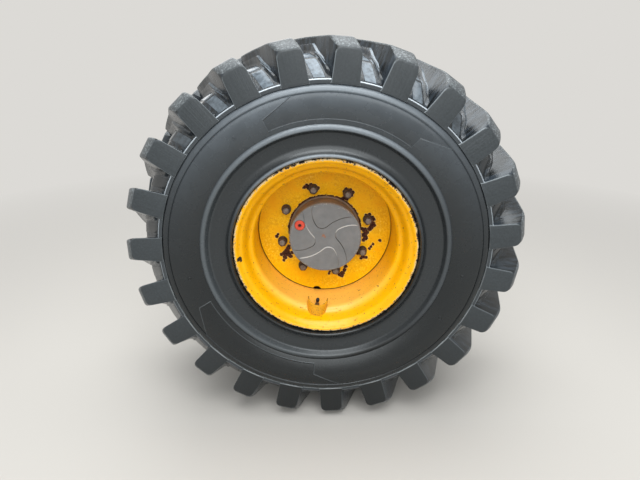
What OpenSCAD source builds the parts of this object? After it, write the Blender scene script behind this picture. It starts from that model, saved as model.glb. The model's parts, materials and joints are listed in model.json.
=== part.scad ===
// Driven wheel of a wheeled machine with the fixed axle end that carries it.
// The axle lies along Y. The wheel's outboard side faces -Y, and the axle flange's face is at Y = 0.

/* [Tyre] */
// Outside diameter over the lugs
tyre_d = 1118; // [1090:2:1146]
// Widest section of the casing
section_w = 444; // [432:1:456]
// Height of the crown above the widest section
section_drop = 155; // [146:1:164]
// How far the raised ridge on the sidewall stands above the rim flange
ridge_h = 80; // [72:1:88]
// How far the sidewall's ridge stands out past the rim's lip
ridge_out = 14; // [10:0.5:16]
// Rounding radius of the sidewall's ridge
ridge_round = 7; // [5:0.5:9]
// How far the bead's ring stands out past the rim's lip
bead_out = 9; // [6:0.5:10]
// Thickness of the casing at the sidewall
side_wall = 26; // [20:1:30]
// Thickness of the casing under the tread
tread_wall = 21; // [16:1:26]
// Depth of the tread at the middle of the crown
tread_depth = 33; // [26:1:38]

/* [Lugs] */
// Lugs on each side of the tyre
lug_count = 23; // [19:1:25]
// Angle of the first lug
lug_phase = 99.8; // [90:0.1:106]
// Height of a lug's side face, from its foot to the crown
lug_side_h = 109; // [102:1:116]
// How far a lug's side face lies inside the widest section
lug_inset = 8; // [5:1:12]
// Width of a lug along the crown
lug_top_w = 57; // [48:1:62]
// Width of a lug's side face at its foot
lug_foot_w = 71; // [64:1:78]
// Spread of a lug's flanks from the crown to the groove floor
lug_draft = 9; // [5:1:12]
// Drop of the crown over the rounded shoulder
shoulder_drop = 31; // [24:1:38]
// Length of the rounded shoulder along the axle
shoulder_l = 34; // [26:1:42]
// Angle between a lug and the axle at the shoulder
lug_skew = 25; // [18:1:30]
// Angle between a lug and the axle at the middle
centre_skew = 38; // [30:1:44]
// Distance from the middle plane to the bend in a lug
bend_w = 96; // [80:2:116]
// Distance from the middle plane to the middle of a lug's nose
nose_w = 13; // [9:1:20]
// Width of the step against a lug's flank
step_w = 22; // [16:1:28]
// Height of the step above the groove floor
step_h = 12; // [8:1:16]
// Length of the step along the lug
step_l = 62; // [50:1:74]

/* [Rim] */
// Bead seat diameter
seat_d = 495.3; // [485:0.1:505]
// Width between the rim flanges
rim_w = 355.6; // [345:0.1:365]
// Height of the rim flange above the bead seat
flange_h = 12.7; // [11.5:0.1:16]
// Thickness of the rim flange's rolled lip
lip_t = 12.2; // [10:0.1:14]
// Thickness of the rim's barrel
rim_t = 12.5; // [9:0.1:14]
// Depth of the well below the bead seat
well_depth = 27; // [23:1:31]
// Length of a bead seat from its flange to the well's wall
seat_run = 38; // [32:1:44]
// Length of the well's sloping wall
well_wall = 10; // [8:1:16]
// Length of the well's floor
well_w = 190; // [170:2:200]

/* [Disc] */
// Thickness of the wheel disc
disc_t = 14; // [10:1:18]
// Distance of the disc's outboard face from the wheel's middle plane
disc_out = 14; // [4:1:24]
// Centre bore of the wheel disc
disc_bore_d = 221; // [218:0.5:226]
// Pitch circle of the wheel studs
stud_pcd = 275; // [270:0.5:284]
// Number of wheel studs
stud_count = 8; // [6:1:10]
// Angle of the first stud
stud_phase = 14.8; // [0:0.1:30]
// Diameter of a wheel stud
stud_d = 18; // [16:1:20]
// Clearance round a stud in the wheel disc
stud_play = 3; // [2:0.5:4]
// Width of a nut across its flats
nut_af = 24; // [24:1:27]
// Height of a nut over its collar
nut_h = 21; // [18:1:28]
// Diameter of a nut's collar
collar_d = 30; // [28:1:34]
// Thickness of a nut's collar
collar_t = 5; // [4:1:8]
// Length of stud that stands out of a nut
stud_out = 5; // [3:1:10]
// Diameter of the notch in the disc's edge
notch_d = 28; // [20:1:34]

/* [Hub] */
// Distance of the hub cover's face from the wheel disc's face
hub_out = 73; // [66:1:84]
// Diameter of the hub cover
cover_d = 216; // [208:1:218]
// Thickness of the hub cover
cover_t = 11; // [9:1:14]
// Height of the four raised pads on the hub cover
pad_h = 2.2; // [1:0.1:3]
// Rounded edge of the hub cover
cover_edge = 3; // [1:0.5:5]
// Radius of the turn in a pad's outline near the middle of the cover
pad_turn_r = 20.5; // [17:0.5:23]
// Diameter of the hub's drum behind the cover
drum_d = 211; // [204:1:214]
// Diameter of the hub's wheel flange
hub_flange_d = 330; // [322:1:344]
// Thickness of the hub's wheel flange
hub_flange_t = 24; // [20:1:30]
// Diameter of the hub behind its wheel flange
boss_d = 236; // [226:1:240]
// Length of the hub behind its wheel flange
boss_l = 40; // [34:1:50]
// Diameter of the oil plug
plug_d = 30; // [26:1:34]
// Distance of the oil plug from the axle's middle
plug_at = 86; // [82:1:88]
// Angle of the oil plug
plug_angle = 152; // [140:1:160]

/* [Axle end] */
// Distance from the axle flange's face to the wheel's middle plane
axle_reach = 300; // [290:1:330]
// Diameter of the spindle in the hub
spindle_d = 120; // [110:1:130]
// Radial running clearance of the hub on the spindle
run_fit = 0.05; // [0.02:0.01:0.09]
// Gap between the hub and the fixed brake housing
run_gap = 6; // [5:1:9]
// Diameter of the brake housing
brake_d = 322; // [310:2:336]
// Length of the brake housing
brake_l = 92; // [84:1:104]
// Ribs round the back of the brake housing
brake_ribs = 12; // [8:1:16]
// Diameter of the axle arm's neck
arm_d = 150; // [142:2:170]
// Diameter of the axle flange
axle_flange_d = 330; // [320:2:350]
// Thickness of the axle flange
axle_flange_t = 28; // [22:1:34]
// Pitch circle of the axle flange's bolts
axle_pcd = 285; // [278:1:292]
// Number of bolts in the axle flange
axle_bolt_count = 12; // [8:1:14]
// Bolt hole in the axle flange
axle_hole_d = 17.5; // [15:0.5:19]
// Locating bore in the axle flange
pilot_d = 130; // [120:1:138]

/* [Valve] */
// Angle of the valve round the wheel
valve_angle = -97; // [-110:1:-80]
// Distance of the valve from the well's sloping wall
valve_in = 9; // [8:1:14]
// Diameter of the valve stem
valve_d = 8; // [7:0.5:10]
// Length of the valve stem inside the rim
valve_l = 12; // [9:1:16]
// Length of the valve cap
cap_l = 11; // [8:1:14]
// Outside radius of the curved valve guard
guard_r = 31; // [28:1:35]
// Thickness of the valve guard
guard_t = 4; // [3:0.5:6]
// Height of the guard's middle above the well's floor
guard_h = 14; // [10:1:20]
// Tilt of the guard's top edge
guard_tilt = 24; // [16:1:32]

/* [Hidden] */
$fn = 96;

// Gap between curved faces that lie against each other
seat_gap = 0.2;
// Slope of the bead seats
seat_slope = tan(15);
// How deep lugs and steps reach into the casing that carries them
root = 8;
// Where a step begins behind the lug's side face
step_in = 12;
// Length of the slope at each end of a step
step_ramp = 10;
// How steeply a lug's foot may climb inward from its outer corner
foot_rise = 3;
// Edge break on machined rings
chamfer = 3;

crown_r = tyre_d / 2;
seat_r = seat_d / 2;
half_rim = rim_w / 2;
lip_w = half_rim + lip_t;
flange_r = seat_r + flange_h;
well_r = seat_r - well_depth;
floor_r = well_r - rim_t;
seat_end = half_rim - seat_run;
seat_end_r = seat_r - seat_run * seat_slope;
well_out = seat_end - well_wall;
well_in = well_out - well_w;

side_r = crown_r - section_drop;
half_section = section_w / 2;
ridge_r = flange_r + ridge_h;
foot_r = crown_r - lug_side_h;
foot_w = half_section - lug_inset;
tread_r = crown_r - tread_depth;
tread_w = foot_w - 4;
lug_pitch = 360 / lug_count;

disc_face = axle_reach + disc_out;
disc_back = disc_face - disc_t;
disc_edge_r = floor_r - seat_gap;
cover_face = disc_face + hub_out;
cover_back = cover_face - cover_t;
hub_flange_back = disc_back - hub_flange_t;
hub_end = hub_flange_back - boss_l;
hub_wall = 12;
spindle_gap = 10;
spindle_end = cover_back - hub_wall - spindle_gap;
spindle_shoulder_d = spindle_d + 30;
stud_fit = 0.05;
stud_head = 6;
brake_face = hub_end - run_gap;
brake_back = brake_face - brake_l;
brake_rim_l = brake_l * 0.5;
brake_neck_d = arm_d + 62;
brake_bolt_pcd = brake_d - 26;
brake_bolt_d = 12;

function mix(a, b, share) = a + (b - a) * share;

// Points of an arc in [distance along the axle, radius]
function arc(centre, r, from, to, steps) = [for (i = [0 : steps])
    let (turn = mix(from, to, i / steps)) [centre[0] + r * cos(turn), centre[1] + r * sin(turn)]];

// Turns local +Z to the outboard side, with the wheel seen from outboard in the XY plane
module on_axle() rotate([90, 0, 0]) children();

// A revolved ring from a list of [distance along the axle, radius]
module ring(points) rotate_extrude($fn = 128) polygon([for (p = points) [p[1], p[0]]]);

// A round bar along the axle between two places
module bar(from, to, d) translate([0, 0, from]) cylinder(h = to - from, d = d);

// The same child at equal angles on a circle
module around(count, r, phase = 0) {
    for (k = [0 : count - 1]) rotate([0, 0, phase + k * 360 / count]) translate([r, 0, 0]) children();
}

// Both sides of a symmetric outline, given from its edge to the middle plane
function both_sides(half) = concat(
    [for (p = half) [axle_reach + p[0], p[1]]],
    [for (i = [len(half) - 1 : -1 : 0]) if (half[i][0] > 0.01) [axle_reach - half[i][0], half[i][1]]]
);

// Groove floor between the lugs at a turn from the shoulder's step to the crown
function floor_at(turn) = [tread_w * pow(cos(turn), 0.75), mix(foot_r + 2, tread_r, pow(sin(turn), 0.8))];

// Radius of the groove floor at a distance from the middle plane
function floor_radius(w) = floor_at(acos(pow(min(1, w / tread_w), 4 / 3)))[1];

// Outboard half of the casing, from the bead's heel over the sidewall to the crown
function casing_outside() = let (
    valley = [lip_w + ridge_out - 3, ridge_r + ridge_round + 4]
) concat(
    [[half_rim - seat_gap, seat_r + seat_gap]],
    arc([half_rim + lip_t / 2, flange_r - lip_t / 2], lip_t / 2 + 2 * seat_gap, 180, 100, 5),
    [
        [lip_w - 1, flange_r + 2.5],
        [lip_w + 0.6 * bead_out, flange_r + 3],
        [lip_w + bead_out, flange_r + 6.5],
        [lip_w + bead_out, flange_r + 10.5],
        [lip_w, mix(flange_r, ridge_r, 0.25)],
        [lip_w - 4, mix(flange_r, ridge_r, 0.42)],
        [lip_w - 5.5, mix(flange_r, ridge_r, 0.62)],
        [lip_w - 4.5, mix(flange_r, ridge_r, 0.84)],
        [lip_w - 2, ridge_r - ridge_round - 1]
    ],
    arc([lip_w + ridge_out - ridge_round, ridge_r], ridge_round, 300, 420, 5),
    [
        valley,
        [mix(valley[0], half_section, 0.27), mix(valley[1], side_r, 0.20)],
        [mix(valley[0], half_section, 0.55), mix(valley[1], side_r, 0.43)],
        [mix(valley[0], half_section, 0.82), mix(valley[1], side_r, 0.70)],
        [mix(valley[0], half_section, 0.96), mix(valley[1], side_r, 0.88)],
        [half_section, side_r],
        [half_section - 1, mix(side_r, foot_r, 0.4)],
        [half_section - 3.5, mix(side_r, foot_r, 0.65)],
        [half_section - 6.5, mix(side_r, foot_r, 0.87)],
        [foot_w - 1, foot_r],
        [foot_w - 4, foot_r + 1]
    ],
    [for (turn = [15 : 15 : 90]) floor_at(turn)]
);

// Outboard half of the air side of the casing, from the bead's toe to the crown
function casing_inside() = [
    [seat_end + 2, seat_end_r + 2 * seat_slope + seat_gap],
    [half_rim - 26, flange_r + 4],
    [lip_w - side_wall, mix(flange_r, ridge_r, 0.7)],
    [half_section - side_wall - 2, mix(ridge_r, side_r, 0.7)],
    [half_section - side_wall - 8, mix(side_r, foot_r, 0.6)],
    [half_section - side_wall - 36, foot_r + 22],
    [bend_w, tread_r - tread_wall - 3],
    [0, tread_r - tread_wall]
];

module casing() {
    difference() {
        ring(both_sides(casing_outside()));
        ring(both_sides(concat([[seat_end + 2, well_r]], casing_inside())));
    }
}

// Angle by which a lug has turned where it is this far from the middle plane
function lug_turn(w) = (
    tan(lug_skew) * (foot_w - max(w, bend_w)) + tan(centre_skew) * max(0, bend_w - w)
) / crown_r * 180 / PI;

// A point of a lug at an offset and radius, and at a distance across the lug
function lug_point(w, r, across, slant, side) = let (
    place = w + slant * across,
    turned = lug_turn(place) + across / r * 180 / PI
) [r * cos(turned), r * sin(turned), side * place];

// A station of a lug: a slant, then [offset, radius, half width] of its foot, its flank and its crown
function lug_station(w, drop, flank_drop, half, spread, slant = 0, lean = 0) = [
    slant,
    [w - 2 * lean, min(foot_r + (foot_w - w) * foot_rise, floor_radius(w)) - root, half + spread],
    [w - lean, crown_r - drop - flank_drop, half + 3],
    [w, crown_r - drop, half]
];

// Stations from a lug's side face over the rounded shoulder to its nose
function lug_stations() = let (half = lug_top_w / 2) [
    [0, [foot_w, foot_r - root, lug_foot_w / 2], [foot_w - 1, crown_r - shoulder_drop - 12, half + 1.5],
        [foot_w - 2, crown_r - shoulder_drop, half - 5]],
    lug_station(foot_w - shoulder_l / 3, shoulder_drop * 0.55, 16, half - 1, lug_draft),
    lug_station(foot_w - shoulder_l, shoulder_drop * 0.15, 20, half, lug_draft),
    lug_station(bend_w + 40, 2, 20, half, lug_draft),
    lug_station(bend_w, 1, 20, half, lug_draft),
    lug_station(nose_w, 0, 20, half - 1, lug_draft, sin(centre_skew), 3)
];

function lug_section(station, side) = concat(
    [for (i = [1 : 3]) lug_point(station[i][0], station[i][1], -station[i][2], station[0], side)],
    [for (i = [3 : -1 : 1]) lug_point(station[i][0], station[i][1], station[i][2], station[0], side)]
);

// Section of the step that lies against a lug's flank
function step_section(w, lift, side) = let (
    flank = lug_top_w / 2 - 4,
    top = floor_radius(w) + lift,
    low = min(top, floor_radius(w)) - root
) [
    lug_point(w, low, flank, 0, side),
    lug_point(w, top + 4, flank, 0, side),
    lug_point(w, top, flank + 4 + step_w, 0, side),
    lug_point(w, low, flank + 8 + step_w, 0, side)
];

// A closed solid through sections with the same number of points, turned inside out for the far side
module loft(sections, far) {
    count = len(sections[0]);
    last = (len(sections) - 1) * count;
    walls = [for (i = [0 : count : last - 1], j = [0 : count - 1]) let (
        a = i + j, b = i + (j + 1) % count
    ) each [[a, b, b + count], [a, b + count, a + count]]];
    near_cap = [for (j = [0 : count / 2 - 2]) let (
        a = count - 1 - j
    ) each [[j, a, a - 1], [j, a - 1, j + 1]]];
    far_cap = [for (f = near_cap) [last + f[0], last + f[2], last + f[1]]];
    faces = concat(walls, near_cap, far_cap);
    polyhedron([for (s = sections) each s], far ? [for (f = faces) [f[2], f[1], f[0]]] : faces);
}

module lug(side) {
    loft([for (station = lug_stations()) lug_section(station, side)], side < 0);
}

module step(side) {
    loft([
        step_section(foot_w - step_in, 0, side),
        step_section(foot_w - step_in - step_ramp, step_h, side),
        step_section(foot_w - step_l, step_h, side),
        step_section(foot_w - step_l - step_ramp, 0, side)
    ], side < 0);
}

module tyre() {
    color("#3b3e3f") on_axle() union() {
        casing();
        for (k = [0 : lug_count - 1], side = [1, -1])
            rotate([0, 0, lug_phase + (k + (side < 0 ? 0.5 : 0)) * lug_pitch])
                translate([0, 0, axle_reach]) {
                    lug(side);
                    step(side);
                }
    }
}

// Half of the rim's tyre side, from the lip's outer face to the end of the bead seat
function rim_flange(side) = [for (p = concat(
    arc([half_rim + lip_t / 2, flange_r - lip_t / 2], lip_t / 2, 0, 180, 6),
    [[half_rim, seat_r], [seat_end, seat_end_r]]
)) [side * p[0], p[1]]];

// Half of the rim's axle side, from the end of the bead seat to the lip's outer face
function rim_bell(side) = let (
    bell_l = lip_t + 8,
    bell_h = rim_t + 4
) [for (p = concat(
    [[seat_end, seat_end_r - rim_t]],
    [for (turn = [0 : 15 : 90]) [lip_w - bell_l + bell_l * sin(turn), seat_r + 3 - bell_h * cos(turn)]]
)) [side * p[0], p[1]]];

function reversed(list) = [for (i = [len(list) - 1 : -1 : 0]) list[i]];

module rim() {
    color("#f6b605") on_axle() difference() {
        translate([0, 0, axle_reach]) ring(concat(
            rim_flange(1),
            [[well_out, well_r], [well_in, well_r], [well_in - well_wall, seat_end_r]],
            reversed(rim_flange(-1)),
            reversed(rim_bell(-1)),
            [[well_in - well_wall, seat_end_r - rim_t], [well_in, floor_r], [well_out, floor_r]],
            rim_bell(1)
        ));
        at_valve() bar(-rim_t - 5, 5, valve_d + 1);
    }
}

module disc() {
    color("#ef9f10") on_axle() difference() {
        bar(disc_back, disc_face, 2 * disc_edge_r);
        bar(disc_back - 1, disc_face + 1, disc_bore_d);
        around(stud_count, stud_pcd / 2, stud_phase) bar(disc_back - 1, disc_face + 1, stud_d + stud_play);
        rotate([0, 0, valve_angle]) translate([disc_edge_r + 4, 0, 0])
            bar(disc_back - 1, disc_face + 1, notch_d);
    }
}

module disc_weld() {
    color("#d9970f") on_axle() ring([
        [disc_back, disc_edge_r - 9],
        [disc_back, disc_edge_r],
        [disc_back - 9, disc_edge_r]
    ]);
}

module hub() {
    color("#6a5a4c") on_axle() difference() {
        ring([
            [hub_end, 0],
            [hub_end, boss_d / 2 - chamfer],
            [hub_end + chamfer, boss_d / 2],
            [hub_flange_back, boss_d / 2],
            [hub_flange_back, hub_flange_d / 2 - chamfer],
            [hub_flange_back + chamfer, hub_flange_d / 2],
            [disc_back, hub_flange_d / 2],
            [disc_back, disc_bore_d / 2 - 0.5],
            [disc_face + 2, disc_bore_d / 2 - 0.5],
            [disc_face + 4, drum_d / 2],
            [cover_back, drum_d / 2],
            [cover_back, 0]
        ]);
        bar(hub_end - 1, cover_back - hub_wall, spindle_d + 2 * run_fit);
        around(stud_count, stud_pcd / 2, stud_phase)
            bar(hub_flange_back - 1, disc_back + 1, stud_d + 2 * stud_fit);
    }
}

// Outline of a raised pad: a long curve in from the rim, a tight turn by the middle and a sweep back out
function pad_outline() = let (
    turn_in = 121.2,
    turn_out = 222.8,
    in_r = 81.6,
    out_r = 114.5,
    beyond = cover_d,
    middle = [51.6, 9.5],
    in_centre = middle - (in_r - pad_turn_r) * [cos(turn_in), sin(turn_in)],
    out_centre = middle + (out_r + pad_turn_r) * [cos(turn_out), sin(turn_out)]
) concat(
    arc(in_centre, in_r, 72, turn_in, 7),
    arc(middle, pad_turn_r, mix(turn_in, turn_out, 1 / 8), mix(turn_in, turn_out, 7 / 8), 6),
    arc(out_centre, out_r, turn_out - 180, -8, 7),
    [[beyond * cos(-45), beyond * sin(-45)], [beyond * cos(10), beyond * sin(10)]]
);

module at_plug() rotate([0, 0, plug_angle]) translate([plug_at, 0, 0]) children();

module hub_cover() {
    color("#77757a") on_axle() difference() {
        intersection() {
            union() {
                bar(cover_back, cover_face - pad_h, cover_d + 2);
                for (k = [0 : 3]) rotate([0, 0, 90 * k])
                    translate([0, 0, cover_back + 2]) linear_extrude(cover_t - 2) polygon(pad_outline());
            }
            ring([
                [cover_back, 0],
                [cover_back, cover_d / 2],
                [cover_face - cover_edge, cover_d / 2],
                [cover_face, cover_d / 2 - cover_edge],
                [cover_face, 0]
            ]);
        }
        at_plug() bar(cover_face - 7, cover_face + 1, plug_d + 2);
        bar(cover_face - pad_h - 2, cover_face, 7);
    }
}

module oil_plug() {
    color("#e04030") on_axle() at_plug() difference() {
        ring([
            [cover_face - 7, 0],
            [cover_face - 7, plug_d / 2],
            [cover_face + 1, plug_d / 2],
            [cover_face + 2.5, plug_d / 2 - 1.5],
            [cover_face + 2.5, 0]
        ]);
        translate([0, 0, cover_face - 4]) cylinder(h = 8, d = plug_d * 0.37, $fn = 6);
    }
}

module wheel_studs() {
    color("#4d4844") on_axle() around(stud_count, stud_pcd / 2, stud_phase) ring([
        [hub_flange_back - stud_head, 0],
        [hub_flange_back - stud_head, stud_d / 2 + 4],
        [hub_flange_back, stud_d / 2 + 4],
        [hub_flange_back, stud_d / 2],
        [disc_face + nut_h + stud_out - 1.5, stud_d / 2],
        [disc_face + nut_h + stud_out, stud_d / 2 - 1.5],
        [disc_face + nut_h + stud_out, 0]
    ]);
}

module wheel_nuts() {
    corner_r = nut_af / 2 / cos(30);
    color("#55504b") on_axle() around(stud_count, stud_pcd / 2, stud_phase) difference() {
        union() {
            bar(disc_face, disc_face + collar_t, collar_d);
            intersection() {
                translate([0, 0, disc_face + 1]) cylinder(h = nut_h - 1, r = corner_r, $fn = 6);
                ring([
                    [disc_face, 0],
                    [disc_face, corner_r + 1],
                    [disc_face + nut_h - 2, corner_r + 1],
                    [disc_face + nut_h, nut_af / 2 - 0.5],
                    [disc_face + nut_h, 0]
                ]);
            }
        }
        bar(disc_face - 1, disc_face + nut_h + 1, stud_d + 2 * stud_fit);
    }
}

// Places its children where the valve goes through the rim, with +Z towards the axle and +X outboard
module at_valve() {
    rotate([0, 0, valve_angle]) translate([floor_r, 0, axle_reach + well_out - valve_in])
        rotate([0, -90, 0]) children();
}

module valve_stem() {
    color("#8d8a80") on_axle() at_valve() {
        bar(-rim_t, valve_l, valve_d);
        translate([0, 0, seat_gap]) cylinder(h = 4, d = valve_d + 7, $fn = 6);
    }
}

module valve_cap() {
    color("#1c1c1c") on_axle() at_valve() ring([
        [valve_l, 0],
        [valve_l, valve_d / 2 + 1.5],
        [valve_l + cap_l - 4, valve_d / 2 + 1.5],
        [valve_l + cap_l, valve_d / 2 - 1],
        [valve_l + cap_l, 0]
    ]);
}

// Half a pipe round the valve's outboard side, cut along the rim and with a sloping top
module valve_guard() {
    reach = 80;
    color("#f0a808") on_axle() difference() {
        at_valve() translate([4, 0, 0]) difference() {
            bar(-reach / 2, guard_h + guard_r, 2 * guard_r);
            bar(-reach / 2 - 1, guard_h + guard_r + 1, 2 * (guard_r - guard_t));
            translate([-reach, -reach / 2, -reach]) cube([reach, reach, 2 * reach]);
            translate([guard_r, 0, guard_h]) rotate([0, guard_tilt, 0])
                translate([-reach, -reach / 2, 0]) cube([2 * reach, reach, reach]);
        }
        translate([0, 0, axle_reach]) ring([
            [-lip_w, floor_r - seat_gap],
            [well_out, floor_r - seat_gap],
            [seat_end, seat_end_r - rim_t - seat_gap],
            [half_rim, seat_r - rim_t - seat_gap],
            [half_rim, crown_r],
            [-lip_w, crown_r]
        ]);
    }
}

module spindle() {
    color("#9a9a98") on_axle() ring([
        [brake_face, 0],
        [brake_face, spindle_shoulder_d / 2],
        [hub_end - 1, spindle_shoulder_d / 2],
        [hub_end - 1, spindle_d / 2],
        [spindle_end - chamfer, spindle_d / 2],
        [spindle_end, spindle_d / 2 - chamfer],
        [spindle_end, 0]
    ]);
}

module seal_ring() {
    color("#2a2a2b") on_axle() ring([
        [brake_face, spindle_shoulder_d / 2 + seat_gap],
        [brake_face, spindle_shoulder_d / 2 + 14],
        [hub_end - 1, spindle_shoulder_d / 2 + 10],
        [hub_end - 1, spindle_shoulder_d / 2 + seat_gap]
    ]);
}

module brake_housing() {
    color("#4e5052") on_axle() {
        difference() {
            union() {
                ring([
                    [brake_back, 0],
                    [brake_back, brake_neck_d / 2],
                    [brake_back + 10, brake_neck_d / 2 + 4],
                    [brake_face - brake_rim_l - 12, brake_d / 2 - 34],
                    [brake_face - brake_rim_l, brake_d / 2 - 26],
                    [brake_face - brake_rim_l, brake_d / 2 - chamfer],
                    [brake_face - brake_rim_l + chamfer, brake_d / 2],
                    [brake_face - chamfer, brake_d / 2],
                    [brake_face, brake_d / 2 - chamfer],
                    [brake_face, 0]
                ]);
                around(brake_ribs, 0) translate([0, 0, brake_back + 4]) rotate([90, 0, 0])
                    translate([0, 0, -4]) linear_extrude(8) polygon([
                        [brake_neck_d / 2 - 10, 0],
                        [brake_neck_d / 2 + 14, 0],
                        [brake_d / 2 - 20, brake_l - brake_rim_l - 8],
                        [brake_d / 2 - 20, brake_l - brake_rim_l],
                        [brake_neck_d / 2 - 10, brake_l - brake_rim_l]
                    ]);
            }
            at_bleed() bar(-14, 20, 10 + 2 * stud_fit);
        }
    }
}

// Hexagon bolts that close the brake housing, one between each pair of ribs
module brake_bolts() {
    back = brake_face - brake_rim_l;
    color("#3c3a38") on_axle() around(brake_ribs, brake_bolt_pcd / 2, 180 / brake_ribs) {
        translate([0, 0, back - 9]) cylinder(h = 7, d = brake_bolt_d * 1.7, $fn = 6);
        bar(back - 2, back, brake_bolt_d * 2);
    }
}

// Places its children on the top of the brake housing's rim, with +Z away from the axle
module at_bleed() {
    rotate([0, 0, 90]) translate([brake_d / 2, 0, brake_face - brake_rim_l / 2])
        rotate([0, 90, 0]) children();
}

module bleed_screw() {
    color("#8d8a80") on_axle() at_bleed() {
        bar(-13, 8, 10);
        translate([0, 0, seat_gap]) cylinder(h = 6, d = 15, $fn = 6);
        bar(7, 18, 6);
    }
}

module axle_arm() {
    color("#4e5052") on_axle() {
        ring([
            [axle_flange_t, 0],
            [axle_flange_t, arm_d / 2 + 16],
            [axle_flange_t + 12, arm_d / 2],
            [brake_back - 18, arm_d / 2],
            [brake_back, brake_neck_d / 2 - 8],
            [brake_back, 0]
        ]);
    }
}

module axle_flange() {
    color("#4e5052") on_axle() difference() {
        ring([
            [0, 0],
            [0, axle_flange_d / 2 - chamfer],
            [chamfer, axle_flange_d / 2],
            [axle_flange_t - chamfer, axle_flange_d / 2],
            [axle_flange_t, axle_flange_d / 2 - chamfer],
            [axle_flange_t, 0]
        ]);
        bar(-1, axle_flange_t + 1, pilot_d);
        around(axle_bolt_count, axle_pcd / 2) bar(-1, axle_flange_t + 1, axle_hole_d);
    }
}

tyre();
rim();
disc();
disc_weld();
hub();
hub_cover();
oil_plug();
wheel_studs();
wheel_nuts();
valve_stem();
valve_cap();
valve_guard();
spindle();
seal_ring();
brake_housing();
brake_bolts();
bleed_screw();
axle_arm();
axle_flange();
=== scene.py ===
import json
from math import cos, hypot, pi, radians, sin, tan

import bmesh
import bpy
from mathutils import Matrix, Vector

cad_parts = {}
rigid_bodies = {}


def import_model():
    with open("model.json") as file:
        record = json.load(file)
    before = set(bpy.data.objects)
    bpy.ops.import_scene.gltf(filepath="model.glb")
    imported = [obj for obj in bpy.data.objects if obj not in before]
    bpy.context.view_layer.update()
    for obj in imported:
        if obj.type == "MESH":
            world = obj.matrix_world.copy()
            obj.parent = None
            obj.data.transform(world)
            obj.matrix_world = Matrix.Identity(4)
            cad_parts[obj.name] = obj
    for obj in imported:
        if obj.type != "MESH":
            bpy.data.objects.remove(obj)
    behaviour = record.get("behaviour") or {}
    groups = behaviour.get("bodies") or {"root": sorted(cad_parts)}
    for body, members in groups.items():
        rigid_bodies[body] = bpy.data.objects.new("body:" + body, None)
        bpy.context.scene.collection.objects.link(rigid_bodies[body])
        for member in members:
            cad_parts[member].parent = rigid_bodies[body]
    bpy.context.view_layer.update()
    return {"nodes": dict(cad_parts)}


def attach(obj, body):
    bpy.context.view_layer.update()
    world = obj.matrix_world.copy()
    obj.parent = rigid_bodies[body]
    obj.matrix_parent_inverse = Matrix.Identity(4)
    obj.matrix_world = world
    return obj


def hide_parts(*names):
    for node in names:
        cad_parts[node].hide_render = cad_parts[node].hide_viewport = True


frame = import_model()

MM = 0.001

# The tyre's middle plane, in mm outboard of the axle flange's face
MIDDLE = 300

# Sizes in mm and angles in degrees, as in the model's source
CROWN_R = 559
FOOT_R = 450
FOOT_W = 214
TREAD_R = 526
TREAD_W = 210
RAMP_R = 508
RAMP_W = 153
LUGS = 23
FIRST_LUG = 99.8
BEND_W = 96
SWEEP = 25
SWEEP_INSIDE_BEND = 38
PLUG_R = 86
PLUG_ANGLE = 152
PAD_H = 2.2
NOTCH = (212, -97)
TOE = (152, 240.6)

# Sizes in mm that only the looks have
SIDE_FACE_W = 204                # where a lug's side face ends and its length begins, from the middle plane
LEAN_W = 168                     # from here out a lug's top leans down by half of its distance
PADS_R = 101.5                   # the raised pads on the cover lie inside this radius
PAD_SPREAD = 2.4                 # how far a pad's foot spreads beyond its top
RAGGED = 14                      # how far noise moves the outline of a rust flake
RUSTY_BORE_R = 114.6             # the disc's bore is rusty out to here
PANEL_IN_R = 363.5               # the sidewall's bare panels lie between these
PANEL_OUT_R = 428.5

# The tyre's rings, each (where it starts, is full, is full to and ends), in mm of radius
BEAD = (262, 265, 270.5, 274.5)
RIDGE = (322, 339, 344, 350.5)
CREST = (334, 338, 347, 350.5)
OUTER_RING = (429, 431, 442, 444.5)
LIP = (445.4, 446.2, 449.8, 450.6)
# The same for the painted highlight along the edge of the lugs' side faces, in mm from the middle plane
FACE_EDGE = (210.8, 212.2, 213.4, 213.9)

# Where a look is missing and where it is full: those with W in mm from the middle plane, the others in mm of radius
BESIDE_BEAD = (277, 270)         # the painted sheen, on either side of the sidewall's hollow band
BESIDE_RIDGE = (333.5, 338)
SHEEN_THICKENS = (350, 430)       # the painted sheen further out, and on the ridge
SHEEN_ON_RIDGE = (352, 350)
TREAD = (448.4, 448.8)           # all that isn't sidewall
LUG_TOP = (554.5, 556.5)
LUG_SIDE_W = (211.2, 212.8)      # a lug's side face, and where the painted highlight on its edge ends below the top
FACE_EDGE_ENDS = (528, 522)
LEDGE = (460.6, 460)             # the ledge at the grooves' foot, and the painted highlight on its edge
LEDGE_W = (206.5, 207.5)
LEDGE_HIGHLIGHT = (457.2, 458)
FLANGE_CHIPS = (251.5, 258)      # the rim's flange, where chips crowd and primer shows
PRIMER_WORN = (255, 256)
PRIMER_ROUND_CHIPS = (252.2, 253.5)
WELL_SHEEN = (227.5, 213)         # the rim's well towards its floor, where a pale sheen is painted
NOTCH_FLOOR_W = (14.5, 13.5)     # the rim's floor that shows through the disc's notch, painted dark as shade
DISC_LINE = (204.8, 205.8)       # the dark line round the disc
COVER_PADS = (103.5, 101.5)      # the cover's pads, and its chipped rim
COVER_CHIPS = (98, 107)
HUB_RUBBED_W = (58, 75)          # the hub's outer end
FLANGE_FACE_W = (298.8, 299.4)   # the axle flange's turned face


# Places and outlines

def at(out, r, angle=90.0):
    """A point in metres, from its distance outboard of the axle flange's face, its radius and its angle"""
    return Vector((r * cos(radians(angle)), -out, r * sin(radians(angle)))) * MM


def metres(sizes):
    """Sizes in mm as metres"""
    return [size * MM for size in sizes]


def mix(a, b, share):
    """A value on the way from a to b"""
    return a + (b - a) * share


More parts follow.
